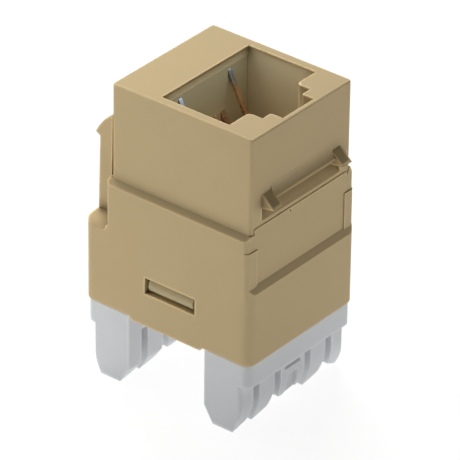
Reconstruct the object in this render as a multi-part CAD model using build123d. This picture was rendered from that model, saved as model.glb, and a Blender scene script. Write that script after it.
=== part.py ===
from build123d import *
import math
import os

# Keystone jack, millimetres. It stands on its terminal towers with its front face up.
# +X runs from the flexible latch arm to the fixed catch, +Y runs along the row of contacts.
# The origin is at the middle of its outline, on the plane of the tower tips.

# Front block of the housing, which passes through a panel
face_x = 16.2
face_y = 14.5
face_corner_r = 0.35
face_edge_r = 0.2

# Body behind the panel
body_x = 19.6
body_y = 15.7
body_corner_r = 1.0
body_setback = 0.5
body_wall = 1.0
rim_edge_r = 0.12

# Levels of the housing, measured down from the front face
housing_height = 23.55
step_drop = 9.95
step_slope = 0.38
ledge_drop = 15.5
band_drop = 15.3
band_slope = 0.7
ceiling_t = 1.2

# Waist between the front block and the body
waist_corner_r = 0.5
waist_left_out = 0.3
panel_out = 0.07
panel_drop = 9.4
far_step_rise = 0.85
strip_y = 6.4
strip_drop = 11.6
strip_out = 0.1

# Crowned ledge that carries the latch arm
crown_rise = 0.65
ledge_cove_r = 0.65

# Flexible latch arm with its hook
arm_width = 11.4
arm_t = 1.5
arm_lean = 0.2
hook_out = 0.52
hook_drop = 6.85
hook_under = 0.33
arm_top_drop = 4.4

# Fixed catch on the other side
lug_out = 1.4
lug_length = 1.3
lug_top_drop = 6.2
lug_tip_drop = 7.4
lug_under = 0.32
ridge_out = 0.6
ridge_top_drop = 5.6
ridge_tip_drop = 6.95
groove_depth = 1.2
groove_low_drop = 9.0
mark_y = -1.6
mark_drop = 9.7
mark_r = 0.1
mark_depth = 0.15

# Plug socket in the front face
socket_wall = 5.1
socket_x = 7.65
socket_y = 12.4
socket_depth = 13.2
mouth_edge_r = 0.12
shelf_corner_r = 0.6
slot_corner_r = 0.3
key_step_x = 1.55
key_step_y = 6.8
key_step_depth = 10.0
key_slot_x = 1.35
key_slot_y = 4.4
key_slot_depth = 6.6
key_pocket_drop = 1.9
lip_t = 0.9
comb_recess = 2.1

# Snap windows in the two long side walls
window_x = 5.9
window_z = 1.7
window_below_ledge = 3.13
window_offset = 0.45

# Tongue of the rim between the towers
tongue_drop = 0.3
tongue_gap = 0.15

# Inner carrier with its contact comb
fit_gap = 0.1
carrier_plate_z = 3.7
comb_t = 1.9
comb_top_gap = 0.1
snap_bar_r = 0.8
snap_bar_out = 0.15
snap_bar_gap = 0.35
snap_bar_clear = 0.04

# Circuit board
board_t = 1.2
contact_hole_r = 0.25
terminal_hole_r = 0.45

# Spring contacts
contact_count = 8
contact_pitch = 1.02
contact_t = 0.35
contact_w = 0.45
contact_pin = 0.3
contact_bend_r = 0.5
contact_gap = 0.06
contact_back = 0.5
outer_fold_drop = 1.3
outer_tip_drop = 9.2
outer_tip_reach = 3.8
inner_fold_drop = 5.3
inner_tip_drop = 11.4
inner_tip_reach = 3.5
contact_front = 0.25

# Terminal block with two towers
rail_z = 2.45
rail_inset = 0.15
rail_corner_r = 0.9
rail_edge_c = 0.15
tower_drop = 5.3
tower_inner_x = 4.5
tower_setback = 0.84
tower_corner_r = 0.45
tower_chamfer_x = 1.05
tower_chamfer_z = 1.7
tower_curve_z = 3.85
tower_curve_x = 0.93
tower_curve_bulge = 0.17
slot_w = 0.95
end_tooth_w = 1.85
splitter_w = 2.2
lead_in_y = 0.4
lead_in_z = 2.3
knee_rise = 0.8
knee_r = 0.3
middle_rise = 0.95
middle_knee_rise = 1.25
middle_corner_r = 0.4
notch_y = 1.55
notch_depth = 0.5
notch_drop = 2.05
slit_y = 2.3
slit_z = 0.4
slit_drop = 1.0
slit_depth = 0.4

# Forked terminals
blade_t = 0.4
blade_w = 2.0
blade_gap = 0.05
blade_tip_drop = 3.0
fork_gap = 0.3
fork_z = 2.8
fork_mouth = 0.55
blade_pin = 0.5
pin_short = 0.1

# Levels above the tower tips
z_rail_low = tower_drop
z_rim = z_rail_low + rail_z
z_face = z_rim + housing_height
z_step = z_face - step_drop
z_ledge = z_face - ledge_drop
z_band = z_face - band_drop
z_ceiling = z_ledge - ceiling_t
z_window_top = z_ledge - window_below_ledge
z_socket_floor = z_face - socket_depth
z_board_top = z_ceiling - carrier_plate_z
z_board_low = z_board_top - board_t

# Places across the housing, before the outline is centred
body_right = body_x / 2
body_left = -body_x / 2
face_right = body_right - body_setback
face_left = face_right - face_x
waist_left = face_left - waist_left_out
waist_right = face_right + panel_out
hook_tip = body_left + arm_lean - hook_out
lug_tip = face_right + lug_out
centre_shift = -(max(body_right, lug_tip) + min(body_left, hook_tip)) / 2

socket_left = face_left + socket_wall
socket_right = socket_left + socket_x
step_right = socket_right + key_step_x
slot_right = step_right + key_slot_x
comb_back = socket_left - comb_recess
comb_front = comb_back + fit_gap + comb_t
window_mid = window_offset
inner_x = body_x - 2 * body_wall
inner_y = body_y - 2 * body_wall
plate_x = inner_x - 2 * fit_gap
plate_y = inner_y - 2 * fit_gap
plinth_y = socket_y - 2 * fit_gap

rail_outer_x = body_right - rail_inset
rail_y = body_y - 2 * rail_inset
tower_outer_x = rail_outer_x - tower_setback
tower_mid_x = (tower_inner_x + tower_outer_x) / 2
slot_outer_y = rail_y / 2 - end_tooth_w - slot_w / 2
slot_inner_y = slot_outer_y - splitter_w - slot_w
slot_places = [-slot_outer_y, -slot_inner_y, slot_inner_y, slot_outer_y]


def span(x0, x1, y_width, z0, z1, y_mid=0.0):
    """A block between two X places and two levels, centred on y_mid."""
    middle = Pos((x0 + x1) / 2, y_mid, (z0 + z1) / 2)
    return middle * Box(x1 - x0, y_width, z1 - z0)


def column(x0, x1, y_width, z0, z1, corner_r):
    """An upright prism with rounded corners."""
    outline = Pos((x0 + x1) / 2, 0, z0) * RectangleRounded(x1 - x0, y_width, corner_r)
    return extrude(outline, z1 - z0)


def along_y(edges, y_width, y_mid=0.0):
    """A profile drawn in X and Z, drawn out evenly along Y."""
    face = Plane.XZ * make_face(edges)
    return Pos(0, y_mid, 0) * extrude(face, y_width / 2, both=True)


def along_x(edges, x0, x1):
    """A profile drawn in Y and Z, drawn out from one X place to another."""
    face = Plane.YZ * make_face(edges)
    return Pos(x0, 0, 0) * extrude(face, x1 - x0)


def housing_shell():
    block = column(face_left, face_right, face_y, z_ledge - ceiling_t, z_face, face_corner_r)
    block = fillet(block.faces().sort_by(Axis.Z)[-1].edges(), face_edge_r)

    waist_low = z_ledge - ceiling_t
    waist_top = z_step + far_step_rise
    waist = column(waist_left, waist_right, body_y, waist_low, waist_top, waist_corner_r)
    waist = waist & waist_slopes()
    panel = span(face_right - 1, waist_right, face_y - 2 * waist_corner_r, z_step - 1, z_face - panel_drop)
    strips_right = waist_right + strip_out
    strips = column(waist_left, strips_right, body_y, waist_low, z_face - strip_drop, waist_corner_r)
    strips -= span(waist_left - 1, waist_right + 1, 2 * strip_y, waist_low - 1, z_face)

    left_half = span(body_left - 1, 0, body_y + 2, z_rim - 1, z_ledge)
    right_half = span(0, body_right + 1, body_y + 2, z_rim - 1, z_band)
    body = column(body_left, body_right, body_y, z_rim, z_band + 1, body_corner_r)
    body = fillet(body.faces().sort_by(Axis.Z)[0].edges(), rim_edge_r)
    body = body & (left_half + right_half)
    body = body - band_cut()
    return block + waist + panel + strips + body


def waist_slopes():
    """Keeps what lies under the slanted steps on both long sides."""
    z_low = z_ledge - ceiling_t - 1
    outline = Polyline(
        (-body_y / 2, z_low),
        (-body_y / 2, z_step - step_slope),
        (-face_y / 2, z_step),
        (face_y / 2 - waist_corner_r, z_step),
        (face_y / 2, z_step + far_step_rise),
        (body_y / 2, z_step - step_slope),
        (body_y / 2, z_low),
        close=True,
    )
    return along_x(outline, body_left, body_right)


def band_cut():
    """The slanted shoulder between the panel and the body, on the catch side."""
    over = 1.0
    outline = Polyline(
        (waist_right, z_band),
        (body_right, z_band - band_slope),
        (body_right + over, z_band - band_slope),
        (body_right + over, z_band + over),
        (waist_right, z_band + over),
        close=True,
    )
    return along_y(outline, body_y + 2 * over)


def ledge_crown():
    """The arm grows from a crowned ledge, rounded down to the side faces."""
    side = (body_y - arm_width) / 2
    half = arm_width / 2
    rise = [
        EllipticalCenterArc((half, z_ledge), side, crown_rise, start_angle=0, arc_size=90),
        Line((half, z_ledge + crown_rise), (-half, z_ledge + crown_rise)),
        EllipticalCenterArc((-half, z_ledge), side, crown_rise, start_angle=90, arc_size=90),
        Line((-half - side, z_ledge), (half + side, z_ledge)),
    ]
    crown = along_x(rise, body_left, waist_left)
    corner = column(body_left, waist_left + 2, body_y, z_ledge - 1, z_ledge + 1, body_corner_r)
    return (crown + ledge_cove()) & corner


def ledge_cove():
    """The hollow corner between the ledge and the waist."""
    r = ledge_cove_r
    start = waist_left - r
    middle = (start + r * math.sqrt(0.5), z_ledge + r - r * math.sqrt(0.5))
    back = waist_left + waist_corner_r
    edges = [
        ThreePointArc((start, z_ledge), middle, (waist_left, z_ledge + r)),
        Line((waist_left, z_ledge + r), (back, z_ledge + r)),
        Line((back, z_ledge + r), (back, z_ledge - r)),
        Line((back, z_ledge - r), (start, z_ledge - r)),
        Line((start, z_ledge - r), (start, z_ledge)),
    ]
    return along_y(edges, body_y)


def latch_arm():
    inner = body_left + arm_t
    outer_top = body_left + arm_lean
    inner_top = outer_top + arm_t
    z_tip = z_face - hook_drop
    z_top = z_face - arm_top_drop
    crest = (outer_top + 0.25, z_tip + 1.25)
    edges = [
        Line((inner, z_ledge), (body_left, z_ledge)),
        Line((body_left, z_ledge), (outer_top, z_tip - hook_under)),
        Line((outer_top, z_tip - hook_under), (hook_tip, z_tip)),
        ThreePointArc((hook_tip, z_tip), crest, (inner_top, z_top)),
        Line((inner_top, z_top), (inner, z_ledge)),
    ]
    return along_y(edges, arm_width)


def catch():
    """Two wedge lugs with a lower ridge between them."""
    z_lug_top = z_face - lug_top_drop
    z_lug_tip = z_face - lug_tip_drop
    lug_edges = Polyline(
        (face_right - 0.3, z_lug_top),
        (face_right, z_lug_top),
        (lug_tip, z_lug_tip),
        (face_right - 0.3, z_lug_tip - lug_under),
        close=True,
    )
    lugs = Part()
    for side in (-1, 1):
        lugs += along_y(lug_edges, lug_length, side * (arm_width - lug_length) / 2)

    z_ridge_top = z_face - ridge_top_drop
    z_ridge_tip = z_face - ridge_tip_drop
    ridge_x = face_right + ridge_out
    hollow = (face_right + ridge_out * 0.3, (z_ridge_top + z_ridge_tip) / 2 - 0.1)
    ridge_edges = [
        ThreePointArc((face_right, z_ridge_top), hollow, (ridge_x, z_ridge_tip)),
        Line((ridge_x, z_ridge_tip), (face_right - 0.3, z_ridge_tip - lug_under)),
        Line((face_right - 0.3, z_ridge_tip - lug_under), (face_right - 0.3, z_ridge_top)),
        Line((face_right - 0.3, z_ridge_top), (face_right, z_ridge_top)),
    ]
    ridge = along_y(ridge_edges, arm_width - 2 * lug_length)
    return lugs + ridge


def catch_groove():
    """The hollow under the catch, where the panel's edge sits."""
    z_top = z_face - ridge_tip_drop - lug_under
    z_low = z_face - groove_low_drop
    z_panel = z_face - panel_drop
    over = 1.0
    outline = Polyline(
        (face_right - groove_depth, z_top),
        (face_right, z_low),
        (face_right, z_panel),
        (face_right + over, z_panel),
        (face_right + over, z_top),
        close=True,
    )
    return along_y(outline, arm_width)


def panel_mark():
    """A tiny round sink mark near the panel's upper edge."""
    pin = Cylinder(mark_r, 2 * mark_depth, rotation=(0, 90, 0))
    return Pos(waist_right, mark_y, z_face - mark_drop) * pin


def socket_space():
    """Room for the plug, with the two steps that guide its latch."""
    over = 1.0
    mouth = span(socket_left, socket_right, socket_y, z_socket_floor - over, z_face + over)
    recess = span(comb_back, socket_right, socket_y, z_ceiling - over, z_face - lip_t)
    step = span(socket_right - over, step_right, key_step_y, z_face - key_step_depth, z_face + over)
    slot = span(step_right - over, slot_right, key_slot_y, z_face - key_slot_depth, z_face + over)
    pocket_low = z_face - key_slot_depth
    pocket_top = z_face - key_pocket_drop
    pocket = span(step_right - over, slot_right, key_step_y, pocket_low, pocket_top)
    space = mouth + recess + step + slot + pocket
    return space


def at_place(edge, x, y):
    middle = edge.center()
    return abs(middle.X - x) < 0.01 and abs(abs(middle.Y) - y) < 0.01


def soften_socket(shell):
    """Rounds the upright corners of the two shelves and the mouth's upper edge."""
    upright = shell.edges().filter_by(Axis.Z)
    shelf = [edge for edge in upright if at_place(edge, socket_right, key_step_y / 2)]
    shell = fillet(shelf, shelf_corner_r)
    upright = shell.edges().filter_by(Axis.Z)
    slot = [edge for edge in upright if at_place(edge, step_right, key_slot_y / 2)]
    shell = fillet(slot, slot_corner_r)
    front = shell.faces().sort_by(Axis.Z)[-1]
    return fillet(front.inner_wires()[0].edges(), mouth_edge_r)


def inner_space():
    over = 1.0
    rear = span(-inner_x / 2, inner_x / 2, inner_y, z_rim - over, z_ceiling)
    return rear


def windows():
    half = window_x / 2
    return span(window_mid - half, window_mid + half, body_y + 2, z_window_top - window_z, z_window_top)


def rim_tongues():
    """The long side walls reach a little lower between the towers."""
    half = tower_inner_x - tongue_gap
    z_low = z_rim - tongue_drop
    outline = Polyline(
        (-half, z_rim + 0.5),
        (-half, z_rim),
        (-half + tongue_drop, z_low),
        (half - tongue_drop, z_low),
        (half, z_rim),
        (half, z_rim + 0.5),
        close=True,
    )
    tongues = Part()
    for side in (-1, 1):
        tongues += along_y(outline, body_wall, side * (body_y - body_wall) / 2)
    return tongues


def make_housing():
    shell = housing_shell() + ledge_crown()
    shell -= catch_groove()
    shell -= panel_mark()
    shell += latch_arm()
    shell += catch()
    shell -= socket_space()
    shell -= inner_space()
    shell -= windows()
    for side in (-1, 1):
        shell -= snap_bar(side, snap_bar_clear)
    shell = soften_socket(shell)
    shell += rim_tongues()
    return shell


def contact_path(fold_drop, tip_drop, tip_reach):
    back = comb_back + contact_back
    front = comb_front - contact_front
    fold_z = z_face - fold_drop
    tip = (socket_left + tip_reach, z_face - tip_drop)
    corners = [(back, z_board_top), (back, fold_z), (front, fold_z), tip]
    return FilletPolyline(*corners, radius=contact_bend_r)


def contact_places():
    """Y of each contact, with the shape of its fold."""
    places = []
    for index in range(contact_count):
        y = (index - (contact_count - 1) / 2) * contact_pitch
        at_end = index in (0, contact_count - 1)
        if at_end:
            shape = (outer_fold_drop, outer_tip_drop, outer_tip_reach)
        else:
            shape = (inner_fold_drop, inner_tip_drop, inner_tip_reach)
        places.append((y, shape))
    return places


def ribbon(shape, thickness, width, y):
    strip = trace(contact_path(*shape), thickness)
    solid = extrude(Plane.XZ * strip, width / 2, both=True)
    return Pos(0, y, 0) * solid


def make_contact(y, shape):
    spring = ribbon(shape, contact_t, contact_w, y)
    back = comb_back + contact_back
    pin_low = z_board_low + pin_short
    half = contact_pin / 2
    pin = span(back - half, back + half, contact_pin, pin_low, z_board_top, y)
    return spring + pin


def make_carrier():
    """Plinth under the plug, comb behind the contacts and a plate over the board."""
    plate = span(-plate_x / 2, plate_x / 2, plate_y, z_board_top, z_ceiling)
    plinth_left = comb_back + fit_gap
    plinth_right = socket_right - fit_gap
    plinth = span(plinth_left, plinth_right, plinth_y, z_ceiling - 0.5, z_socket_floor)
    comb_top = z_face - lip_t - comb_top_gap
    comb = span(plinth_left, comb_front, plinth_y, z_socket_floor - 0.5, comb_top)
    carrier = plate + plinth + comb
    for side in (-1, 1):
        carrier += snap_bar(side)
    for y, shape in contact_places():
        channel = ribbon(shape, contact_t + 2 * contact_gap, contact_w + 2 * contact_gap, y)
        carrier -= channel
    return carrier


def snap_bar(side, around=0.0):
    bar_x = window_x - 2 * snap_bar_gap + 2 * around
    z_mid = z_window_top - window_z / 2
    y_mid = side * (plate_y / 2 + snap_bar_out)
    axis = Location((window_mid, y_mid, z_mid), (0, 90, 0))
    return axis * Cylinder(snap_bar_r + around, bar_x)


def terminal_pins():
    for side in (-1, 1):
        for y in slot_places:
            yield side * tower_mid_x, y


def make_board():
    board = span(-plate_x / 2, plate_x / 2, plate_y, z_board_low, z_board_top)
    z_mid = (z_board_low + z_board_top) / 2
    depth = board_t + 1
    for y, _ in contact_places():
        board -= Pos(comb_back + contact_back, y, z_mid) * Cylinder(contact_hole_r, depth)
    for x, y in terminal_pins():
        board -= Pos(x, y, z_mid) * Cylinder(terminal_hole_r, depth)
    for side in (-1, 1):
        board -= snap_bar(side, snap_bar_clear)
    return board


def tower_profile():
    """End view of one tower, on the +X side."""
    outer = tower_outer_x
    inner = tower_inner_x
    top = z_rail_low + 0.5
    foot_in = inner + tower_chamfer_x
    foot_out = outer - tower_curve_x
    bulge = (outer - tower_curve_bulge, tower_curve_z / 2)
    return [
        Line((inner, top), (inner, tower_chamfer_z)),
        Line((inner, tower_chamfer_z), (foot_in, 0)),
        Line((foot_in, 0), (foot_out, 0)),
        ThreePointArc((foot_out, 0), bulge, (outer, tower_curve_z)),
        Line((outer, tower_curve_z), (outer, top)),
        Line((outer, top), (inner, top)),
    ]


def teeth_outline():
    """Side view of one row of teeth, with a wire slot between each two."""
    end = rail_y / 2
    half = slot_w / 2
    top = z_rail_low + 0.5
    flanks = [-end] + [y + half for y in slot_places]
    starts = [0, 0, middle_rise, 0, middle_rise]
    knees = [knee_rise, knee_rise, middle_knee_rise, knee_rise]
    corners = [(-end, top)]
    for flank, start, knee, slot_y in zip(flanks, starts, knees, slot_places):
        edge = slot_y - half
        corners += [(flank, start), (edge - lead_in_y, knee), (edge, lead_in_z)]
        corners += [(edge, z_rail_low), (edge + slot_w, z_rail_low)]
    corners += [(flanks[-1], starts[-1]), (end, 0), (end, top)]
    outline = make_face(Polyline(*corners, close=True))
    roundings = [(middle_rise, middle_corner_r), (knee_rise, knee_r), (middle_knee_rise, knee_r)]
    for level, radius in roundings:
        bends = outline.vertices().filter_by(lambda corner: abs(corner.Y - level) < 0.001)
        outline = fillet(bends, radius)
    return outline


def make_tower():
    front = along_y(tower_profile(), rail_y)
    side = extrude(Plane.YZ * teeth_outline(), tower_outer_x)
    rounded = column(-tower_outer_x, tower_outer_x, rail_y, -1, z_rail_low + 1, tower_corner_r)
    tower = front & side & rounded
    over = 1.0
    notch_high = z_rail_low - notch_drop
    tower -= span(tower_outer_x - notch_depth, tower_outer_x + over, notch_y, -over, notch_high)
    slit_high = z_rail_low - slit_drop
    tower -= span(tower_outer_x - slit_depth, tower_outer_x + over, slit_y, slit_high - slit_z, slit_high)
    return tower


def rail():
    """The flange that carries one tower, under the housing's rim."""
    outline = column(-rail_outer_x, rail_outer_x, rail_y, z_rail_low, z_rim, rail_corner_r)
    outline = chamfer(outline.faces().sort_by(Axis.Z)[-1].edges(), rail_edge_c)
    return outline & span(tower_inner_x, rail_outer_x + 1, rail_y + 1, z_rail_low, z_rim)


def blade_pocket(x, y):
    width = blade_w + 2 * blade_gap
    thick = blade_t + 2 * blade_gap
    z_low = z_rail_low - blade_tip_drop - blade_gap
    return span(x - thick / 2, x + thick / 2, width, z_low, z_board_low + 1, y)


def make_terminal_block():
    half = rail() + make_tower()
    base = span(-plate_x / 2, plate_x / 2, plate_y, z_rim, z_board_low)
    block = base + half + half.mirror(Plane.YZ)
    for x, y in terminal_pins():
        block -= blade_pocket(x, y)
    return block


def make_terminal(x, y):
    """A forked blade: its slot grips the wire and its tail goes into the board."""
    z_low = z_rail_low - blade_tip_drop
    half = blade_w / 2
    pin = blade_pin / 2
    z_fork = z_low + fork_z
    z_tail = z_board_top - pin_short
    gap = fork_gap / 2
    profile = Polyline(
        (-half, z_low),
        (-fork_mouth, z_low),
        (-gap, z_low + fork_mouth),
        (-gap, z_fork),
        (gap, z_fork),
        (gap, z_low + fork_mouth),
        (fork_mouth, z_low),
        (half, z_low),
        (half, z_board_low),
        (pin, z_board_low),
        (pin, z_tail),
        (-pin, z_tail),
        (-pin, z_board_low),
        (-half, z_board_low),
        close=True,
    )
    return Pos(0, y, 0) * along_x(profile, x - blade_t / 2, x + blade_t / 2)


def write(shape, name):
    placed = Pos(centre_shift, 0, 0) * shape
    export_step(placed, "parts/" + name + ".step")


def main():
    os.makedirs("parts", exist_ok=True)
    write(make_housing(), "housing")
    write(make_carrier(), "contact_carrier")
    write(make_board(), "circuit_board")
    write(make_terminal_block(), "terminal_block")
    for number, (y, shape) in enumerate(contact_places(), start=1):
        write(make_contact(y, shape), "contact_" + str(number))
    for number, (x, y) in enumerate(terminal_pins(), start=1):
        write(make_terminal(x, y), "terminal_" + str(number))


main()
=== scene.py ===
import bpy
from mathutils import Matrix, Vector

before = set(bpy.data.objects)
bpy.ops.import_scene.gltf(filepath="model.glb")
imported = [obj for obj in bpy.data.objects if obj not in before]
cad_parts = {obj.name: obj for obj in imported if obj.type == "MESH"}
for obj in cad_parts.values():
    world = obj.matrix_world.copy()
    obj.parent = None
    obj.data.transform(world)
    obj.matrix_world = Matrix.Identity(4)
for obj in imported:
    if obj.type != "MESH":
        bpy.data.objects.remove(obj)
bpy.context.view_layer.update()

mm = 0.001
white = (1, 1, 1, 1)


# camera, placed where the photograph was taken from

cameraSet = {
    "place": (234.645, -295.074, 244.657),   # mm
    "right": (0.77929, 0.62655, 0.01186),
    "up": (-0.33366, 0.39883, 0.85417),
    "lens": 374.76,                          # mm, for the sensor's width below
    "sensor": 36,
    "clip": (0.01, 10),                      # m
}


def makeCamera(values):
    data = bpy.data.cameras.new("camera")
    data.lens = values["lens"]
    data.sensor_width = values["sensor"]
    data.clip_start, data.clip_end = values["clip"]
    camera = bpy.data.objects.new("camera", data)
    right = Vector(values["right"]).normalized()
    up = Vector(values["up"])
    up = (up - right * up.dot(right)).normalized()
    back = right.cross(up)
    turn = Matrix((right, up, back)).transposed().to_4x4()
    camera.matrix_world = Matrix.Translation(Vector(values["place"]) * mm) @ turn
    bpy.context.scene.collection.objects.link(camera)
    bpy.context.scene.camera = camera


makeCamera(cameraSet)
print("camera ready")


# small steps that every shader is built from

# an output is linked to the socket, and a number or a colour is set on it
def feed(tree, socket, value):
    if isinstance(value, bpy.types.NodeSocket):
        tree.links.new(value, socket)
    else:
        socket.default_value = value


def addNode(tree, kind, inputs, **settings):
    node = tree.nodes.new(kind)
    for label, value in settings.items():
        setattr(node, label, value)
    for label, value in inputs.items():
        feed(tree, node.inputs[label], value)
    return node


def addMath(tree, operation, *values):
    return addNode(tree, "ShaderNodeMath", dict(enumerate(values)), operation=operation).outputs[0]


# the value times a share, added to a base
def addShare(tree, value, share, base):
    return addMath(tree, "MULTIPLY_ADD", value, share, base)


def addRange(tree, value, start, end, least=0.0):
    inputs = {"Value": value, "From Min": start, "From Max": end, "To Min": least}
    return addNode(tree, "ShaderNodeMapRange", inputs).outputs["Result"]


def addNoise(tree, vector, scale, detail):
    inputs = {"Vector": vector, "Scale": scale, "Detail": detail}
    return addNode(tree, "ShaderNodeTexNoise", inputs).outputs["Fac"]


# noise that swings evenly about nought
def addSwing(tree, vector, scale, detail):
    return addMath(tree, "SUBTRACT", addNoise(tree, vector, scale, detail), 0.5)


def addTint(tree, colour, factor):
    inputs = {0: colour, "Scale": factor}
    return addNode(tree, "ShaderNodeVectorMath", inputs, operation="SCALE").outputs[0]


def addBlend(tree, factor, first, second):
    inputs = {"Factor": factor, "A": first, "B": second}
    return addNode(tree, "ShaderNodeMix", inputs, data_type="RGBA").outputs["Result"]


# relief on the plain surface, or on the softened one where its normal is given
def addBump(tree, height, strength, depth, normal=None):
    inputs = {"Height": height, "Strength": strength, "Distance": depth}
    if normal:
        inputs["Normal"] = normal
    return addNode(tree, "ShaderNodeBump", inputs).outputs["Normal"]


def addCoords(tree):
    return tree.nodes.new("ShaderNodeTexCoord").outputs["Object"]


def opaque(colour):
    return (*colour, 1)


# light and backdrop

lightSet = {
    "skyAim": (-0.8, 0.4, 0.45),        # the soft light comes mostly from here
    "skySpread": 2.0,                   # higher is narrower
    "sky": 0.27,
    "skyRest": 0.01,                    # even light from all round
    "lamps": {
        "key": {"place": (-0.26, 0.26, 0.58), "size": (0.30, 0.30), "power": 2.75},
        "above": {"place": (-0.035, -0.01, 0.085), "size": (0.03, 0.03), "power": 0.0150},
        "near": {"place": (-0.07, -0.07, 0.05), "size": (0.05, 0.05), "power": 0.0165},
        "low": {"place": (0.040, 0.006, 0.001), "size": (0.016, 0.016), "power": 0.00078},
        # light that finds its way into the socket, straight down from its mouth
        "mouth": {
            "place": (0.0017, 0, 0.0312), "aim": (0.0017, 0, 0), "size": (0.007, 0.0115),
            "power": 0.00019, "colour": (0.80, 1.0, 1.25),
        },
    },
    "aim": (0, 0, 0.016),               # what the other lamps point at
}
floorSet = {
    "half": 1.5,                        # m
    "colour": (0.95, 0.95, 0.95), "rough": 0.9,
    "glow": 0.53,                       # light that the pale floor throws up
    "show": 0.80,                       # share of plain white in the floor as seen
}


# 1 for what the camera sees directly, in a mirror or through glass
def seenDirectly(tree):
    path = tree.nodes.new("ShaderNodeLightPath")
    either = path.outputs["Is Camera Ray"]
    for ray in ("Is Glossy Ray", "Is Transmission Ray"):
        either = addMath(tree, "MAXIMUM", either, path.outputs[ray])
    return either


def makeWorld(values):
    world = bpy.data.worlds.new("studio")
    bpy.context.scene.world = world
    world.use_nodes = True
    tree = world.node_tree
    tree.nodes.clear()
    coords = tree.nodes.new("ShaderNodeTexCoord").outputs["Generated"]
    aim = Vector(values["skyAim"]).normalized()
    facing = addNode(tree, "ShaderNodeVectorMath", {0: coords, 1: aim}, operation="DOT_PRODUCT")
    front = addMath(tree, "MAXIMUM", facing.outputs["Value"], 0)
    narrow = addMath(tree, "POWER", front, values["skySpread"])
    level = addShare(tree, narrow, values["sky"], values["skyRest"])
    light = addNode(tree, "ShaderNodeBackground", {"Color": white, "Strength": level})
    seen = addNode(tree, "ShaderNodeBackground", {"Color": white, "Strength": 1.0})
    inputs = {0: seenDirectly(tree), 1: light.outputs[0], 2: seen.outputs[0]}
    mix = addNode(tree, "ShaderNodeMixShader", inputs)
    addNode(tree, "ShaderNodeOutputWorld", {"Surface": mix.outputs[0]})


def makeLamp(name, values, aim):
    data = bpy.data.lights.new(name, "AREA")
    data.shape = "RECTANGLE"
    data.size, data.size_y = values["size"]
    data.energy = values["power"]
    data.color = values.get("colour", (1, 1, 1))
    lamp = bpy.data.objects.new(name, data)
    lamp.location = values["place"]
    way = Vector(values.get("aim", aim)) - Vector(values["place"])
    lamp.rotation_euler = way.to_track_quat("-Z", "Y").to_euler()
    lamp.visible_camera = False
    bpy.context.scene.collection.objects.link(lamp)


def makeFloor(values):
    mesh = bpy.data.meshes.new("floor")
    r = values["half"]
    mesh.from_pydata([(-r, -r, 0), (r, -r, 0), (r, r, 0), (-r, r, 0)], [], [(0, 1, 2, 3)])
    floor = bpy.data.objects.new("floor", mesh)
    bpy.context.scene.collection.objects.link(floor)
    material, tree, shader = newMaterial("paleFloor")
    shader.inputs["Base Color"].default_value = opaque(values["colour"])
    shader.inputs["Roughness"].default_value = values["rough"]
    shader.inputs["Emission Color"].default_value = white
    shader.inputs["Emission Strength"].default_value = values["glow"]
    plain = tree.nodes.new("ShaderNodeEmission")
    share = addMath(tree, "MULTIPLY", seenDirectly(tree), values["show"])
    inputs = {0: share, 1: shader.outputs[0], 2: plain.outputs[0]}
    mix = addNode(tree, "ShaderNodeMixShader", inputs)
    tree.links.new(mix.outputs[0], tree.nodes["Material Output"].inputs["Surface"])
    mesh.materials.append(material)


def newMaterial(name):
    material = bpy.data.materials.new(name)
    material.use_nodes = True
    tree = material.node_tree
    return material, tree, tree.nodes["Principled BSDF"]


makeWorld(lightSet)
for lampName, lampValues in lightSet["lamps"].items():
    makeLamp(lampName + "Lamp", lampValues, lightSet["aim"])
makeFloor(floorSet)
bpy.context.scene.view_settings.view_transform = "Standard"
print("studio ready")


# effects that several materials share

edgeSet = {
    "samples": 6,
    "edgeFrom": 0.90, "edgeTo": 0.55,          # openness of the inside, from flat to a sharp edge
    "leanFrom": -0.1, "leanTo": 0.6,           # from sideways to upward
    # the painted highlight on outward edges is weakest, at this share, where they face sideways or
    # down
    "leastHighlight": 0.35,                         # on edges that face sideways or down
    "hollowReach": 0.0014,                     # m
    "hollowFrom": 0.97, "hollowTo": 0.45,      # openness, from flat to a deep hollow
}
skinSet = {
    "cloudScale": 230, "cloudDetail": 3, "cloudGloss": 0.16,
    "grainScale": 7000, "grainDetail": 2, "grainGloss": 0.12,
    "reliefScale": 4200, "reliefDetail": 3, "reliefDepth": 0.00002,
}
metalSet = {
    "lineScale": (9000, 9000, 500), "lineDetail": 3, "lineRelief": 0.25, "lineDepth": 0.00001,
    "stainScale": 900, "stainDetail": 3, "stainTone": 0.30, "stainGloss": 0.25,
    "edgeRadius": 0.00005,
}
skinOutputs = {"Colour": "Color", "Roughness": "Float", "Normal": "Vector"}


def newGroup(name, inputs, outputs):
    group = bpy.data.node_groups.new(name, "ShaderNodeTree")
    for way, sockets in (("INPUT", inputs), ("OUTPUT", outputs)):
        for label, kind in sockets.items():
            group.interface.new_socket(label, in_out=way, socket_type="NodeSocket" + kind)
    return group, group.nodes.new("NodeGroupInput").outputs
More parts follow.
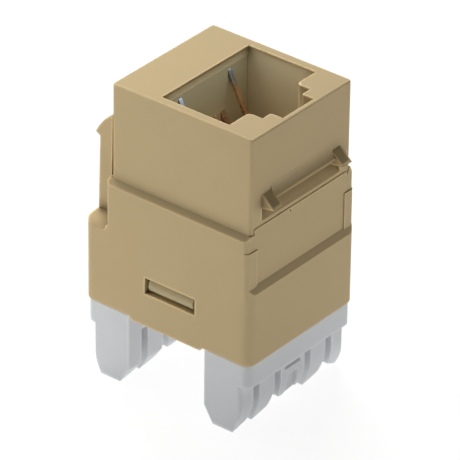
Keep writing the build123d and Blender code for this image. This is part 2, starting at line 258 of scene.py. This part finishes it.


# softened edges, a mask of the outward ones for a painted highlight, strongest where they face up,
# and a mask of the hollows for painted shade
def makeEdgeRound(values):
    tree, given = newGroup(
        "edgeRound",
        {"Radius": "Float", "Reach": "Float"},
        {"Normal": "Vector", "Edge": "Float", "Hollow": "Float"},
    )
    samples = values["samples"]
    bevel = addNode(tree, "ShaderNodeBevel", {"Radius": given["Radius"]}, samples=samples)
    rounded = bevel.outputs["Normal"]
    within = addNode(
        tree, "ShaderNodeAmbientOcclusion", {"Distance": given["Reach"]},
        inside=True, only_local=True, samples=samples,
    )
    edge = addRange(tree, within.outputs["AO"], values["edgeFrom"], values["edgeTo"])
    lean = addNode(tree, "ShaderNodeSeparateXYZ", {0: rounded}).outputs["Z"]
    upward = addRange(tree, lean, values["leanFrom"], values["leanTo"], values["leastHighlight"])
    # painted shade mask: hollows found by occlusion, darkened in the colour, lightened as painted
    # bounce light in the white plastic
    around = addNode(
        tree, "ShaderNodeAmbientOcclusion", {"Distance": values["hollowReach"]},
        only_local=True, samples=samples,
    )
    hollow = addRange(tree, around.outputs["AO"], values["hollowFrom"], values["hollowTo"])
    # painted highlight mask: outward edges, strongest where they face up
    highlightMask = addMath(tree, "MULTIPLY", edge, upward)
    addNode(tree, "NodeGroupOutput", {"Normal": rounded, "Edge": highlightMask, "Hollow": hollow})
    return tree


# satin moulded plastic: cloudy tone, fine grain, a painted highlight on outward edges, painted
# shade in hollows
def makeMouldedSkin(values):
    inputs = {
        "Colour": "Color", "Cloud": "Float", "Grain": "Float",
        "Edge Radius": "Float", "Edge Reach": "Float", "Edge Highlight": "Float",
        "Hollow Shading": "Float", "Gloss Loss": "Float", "Relief": "Float",
    }
    tree, given = newGroup("mouldedSkin", inputs, skinOutputs)
    coords = addCoords(tree)
    clouds = addSwing(tree, coords, values["cloudScale"], values["cloudDetail"])
    grain = addSwing(tree, coords, values["grainScale"], values["grainDetail"])
    inputs = {"Radius": given["Edge Radius"], "Reach": given["Edge Reach"]}
    edges = addNode(tree, "ShaderNodeGroup", inputs, node_tree=edgeRound).outputs
    tone = addShare(tree, clouds, given["Cloud"], 1.0)
    tone = addShare(tree, grain, given["Grain"], tone)
    # painted highlight on outward edges, then painted shade in hollows, scaled into the colour
    tone = addShare(tree, edges["Edge"], given["Edge Highlight"], tone)
    # painted shade in hollows, from the occlusion mask
    tone = addShare(tree, edges["Hollow"], given["Hollow Shading"], tone)
    rough = addShare(tree, clouds, values["cloudGloss"], given["Gloss Loss"])
    rough = addShare(tree, grain, values["grainGloss"], rough)
    height = addNoise(tree, coords, values["reliefScale"], values["reliefDetail"])
    normal = addBump(tree, height, given["Relief"], values["reliefDepth"], edges["Normal"])
    colour = addTint(tree, given["Colour"], tone)
    addNode(tree, "NodeGroupOutput", {"Colour": colour, "Roughness": rough, "Normal": normal})
    return tree


# drawn and stamped strip: fine lines along its length, faint stains
def makeMetalSkin(values):
    inputs = {"Colour": "Color", "Lines": "Float", "Gloss Loss": "Float"}
    tree, given = newGroup("metalSkin", inputs, skinOutputs)
    coords = addCoords(tree)
    inputs = {"Vector": coords, "Scale": values["lineScale"]}
    stretched = addNode(tree, "ShaderNodeMapping", inputs).outputs[0]
    lines = addSwing(tree, stretched, 1.0, values["lineDetail"])
    stains = addSwing(tree, coords, values["stainScale"], values["stainDetail"])
    tone = addShare(tree, lines, given["Lines"], 1.0)
    tone = addShare(tree, stains, values["stainTone"], tone)
    rough = addShare(tree, stains, values["stainGloss"], given["Gloss Loss"])
    inputs = {"Radius": values["edgeRadius"]}
    edges = addNode(tree, "ShaderNodeGroup", inputs, node_tree=edgeRound).outputs
    normal = addBump(tree, lines, values["lineRelief"], values["lineDepth"], edges["Normal"])
    colour = addTint(tree, given["Colour"], tone)
    addNode(tree, "NodeGroupOutput", {"Colour": colour, "Roughness": rough, "Normal": normal})
    return tree


edgeRound = makeEdgeRound(edgeSet)
mouldedSkin = makeMouldedSkin(skinSet)
metalSkin = makeMetalSkin(metalSet)
print("shared effects ready")


# finishes

# edgeHighlight lightens outward edges as a painted highlight; hollowShading darkens hollows as
# painted shade, and in the white plastic lightens them as painted bounce light
plasticSet = {
    "tanPlastic": {
        "colour": (0.600, 0.464, 0.255), "cloud": 0.05, "grain": 0.10, "edgeRadius": 0.00006,
        "edgeReach": 0.00028, "edgeHighlight": 1.00, "hollowShading": -0.52, "rough": 0.55, "relief": 0.16,
        "specular": 0.10,
    },
    "carrierPlastic": {
        "colour": (0.520, 0.430, 0.245), "cloud": 0.06, "grain": 0.12, "edgeRadius": 0.00006,
        "edgeReach": 0.00020, "edgeHighlight": 0.25, "hollowShading": -0.25, "rough": 0.48, "relief": 0.18,
        "specular": 0.16,
    },
    "whitePlastic": {
        "colour": (0.715, 0.730, 0.745), "cloud": 0.05, "grain": 0.08, "edgeRadius": 0.00008,
        "edgeReach": 0.00030, "edgeHighlight": 0.45, "hollowShading": 0.10, "rough": 0.42, "relief": 0.20,
        "specular": 0.28,
    },
}
contactSet = {
    "copper": (0.60, 0.40, 0.25), "silver": (0.30, 0.32, 0.36),
    "silverFrom": 0.0286,                           # m, height above which the plating is silver
    "silverFade": 0.0004,                           # m, over which it turns, each way
    "lines": 0.35, "rough": 0.30,
}
terminalSet = {"colour": (0.70, 0.70, 0.69), "lines": 0.30, "rough": 0.34}
boardSet = {
    "mask": (0.018, 0.125, 0.050), "track": (0.040, 0.205, 0.080), "core": (0.46, 0.43, 0.22),
    "faceFrom": 0.5,                                # steeper surfaces are the bare cut edges
    "trackScale": 420, "trackWarp": 1.2, "trackDetail": 0, "trackWarpScale": 0.6,
    "trackFrom": 0.62, "trackTo": 0.70, "trackRelief": 0.5, "trackDepth": 0.00003,
    "grainScale": 6000, "grainDetail": 2, "grainTone": 0.20,
    "rough": 0.32, "stainScale": 1500, "stainDetail": 2, "stainGloss": 0.20,
}


def wearSurface(tree, shader, colour, rough, normal):
    tree.links.new(colour, shader.inputs["Base Color"])
    tree.links.new(rough, shader.inputs["Roughness"])
    tree.links.new(normal, shader.inputs["Normal"])


def wearSkin(tree, shader, group, inputs):
    skin = addNode(tree, "ShaderNodeGroup", inputs, node_tree=group).outputs
    wearSurface(tree, shader, skin["Colour"], skin["Roughness"], skin["Normal"])


def makePlastic(name, values):
    material, tree, shader = newMaterial(name)
    inputs = {
        "Colour": opaque(values["colour"]), "Cloud": values["cloud"], "Grain": values["grain"],
        "Edge Radius": values["edgeRadius"], "Edge Reach": values["edgeReach"],
        "Edge Highlight": values["edgeHighlight"], "Hollow Shading": values["hollowShading"],
        "Gloss Loss": values["rough"], "Relief": values["relief"],
    }
    wearSkin(tree, shader, mouldedSkin, inputs)
    shader.inputs["Specular IOR Level"].default_value = values["specular"]
    return material


def makeMetal(name, values, addColour):
    material, tree, shader = newMaterial(name)
    colour = addColour(tree, values)
    inputs = {"Colour": colour, "Lines": values["lines"], "Gloss Loss": values["rough"]}
    wearSkin(tree, shader, metalSkin, inputs)
    shader.inputs["Metallic"].default_value = 1.0
    return material


# copper below, silver above
def addPlating(tree, values):
    height = addNode(tree, "ShaderNodeSeparateXYZ", {0: addCoords(tree)}).outputs["Z"]
    fade = values["silverFade"]
    rise = addRange(tree, height, values["silverFrom"] - fade, values["silverFrom"] + fade)
    return addBlend(tree, rise, opaque(values["copper"]), opaque(values["silver"]))


def addPlainColour(tree, values):
    return opaque(values["colour"])


# solder resist over tracks on the two faces, bare core at the cut edges
def makeBoardFinish(values):
    material, tree, shader = newMaterial("boardGreen")
    coords = addCoords(tree)
    inputs = {
        "Vector": coords, "Scale": values["trackScale"], "Distortion": values["trackWarp"],
        "Detail": values["trackDetail"], "Detail Scale": values["trackWarpScale"],
    }
    waves = addNode(tree, "ShaderNodeTexWave", inputs).outputs["Fac"]
    track = addRange(tree, waves, values["trackFrom"], values["trackTo"])
    face = addBlend(tree, track, opaque(values["mask"]), opaque(values["track"]))
    normal = tree.nodes.new("ShaderNodeNewGeometry").outputs["Normal"]
    upright = addNode(tree, "ShaderNodeSeparateXYZ", {0: normal}).outputs["Z"]
    flat = addMath(tree, "GREATER_THAN", addMath(tree, "ABSOLUTE", upright), values["faceFrom"])
    whole = addBlend(tree, flat, opaque(values["core"]), face)
    grain = addNoise(tree, coords, values["grainScale"], values["grainDetail"])
    tone = addShare(tree, grain, values["grainTone"], 1 - values["grainTone"] / 2)
    stains = addNoise(tree, coords, values["stainScale"], values["stainDetail"])
    least = values["rough"] - values["stainGloss"] / 2
    rough = addShare(tree, stains, values["stainGloss"], least)
    normal = addBump(tree, track, values["trackRelief"], values["trackDepth"])
    wearSurface(tree, shader, addTint(tree, whole, tone), rough, normal)
    return material


finishes = {
    "housing": makePlastic("tanPlastic", plasticSet["tanPlastic"]),
    "contact_carrier": makePlastic("carrierPlastic", plasticSet["carrierPlastic"]),
    "circuit_board": makeBoardFinish(boardSet),
    "terminal_block": makePlastic("whitePlastic", plasticSet["whitePlastic"]),
    "contact": makeMetal("contactPlated", contactSet, addPlating),
    "terminal": makeMetal("terminalTin", terminalSet, addPlainColour),
}
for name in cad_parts:
    piece = bpy.data.objects[name]
    key = name if name in finishes else name.rsplit("_", 1)[0]
    piece.data.materials.clear()
    piece.data.materials.append(finishes[key])
print("finishes ready")
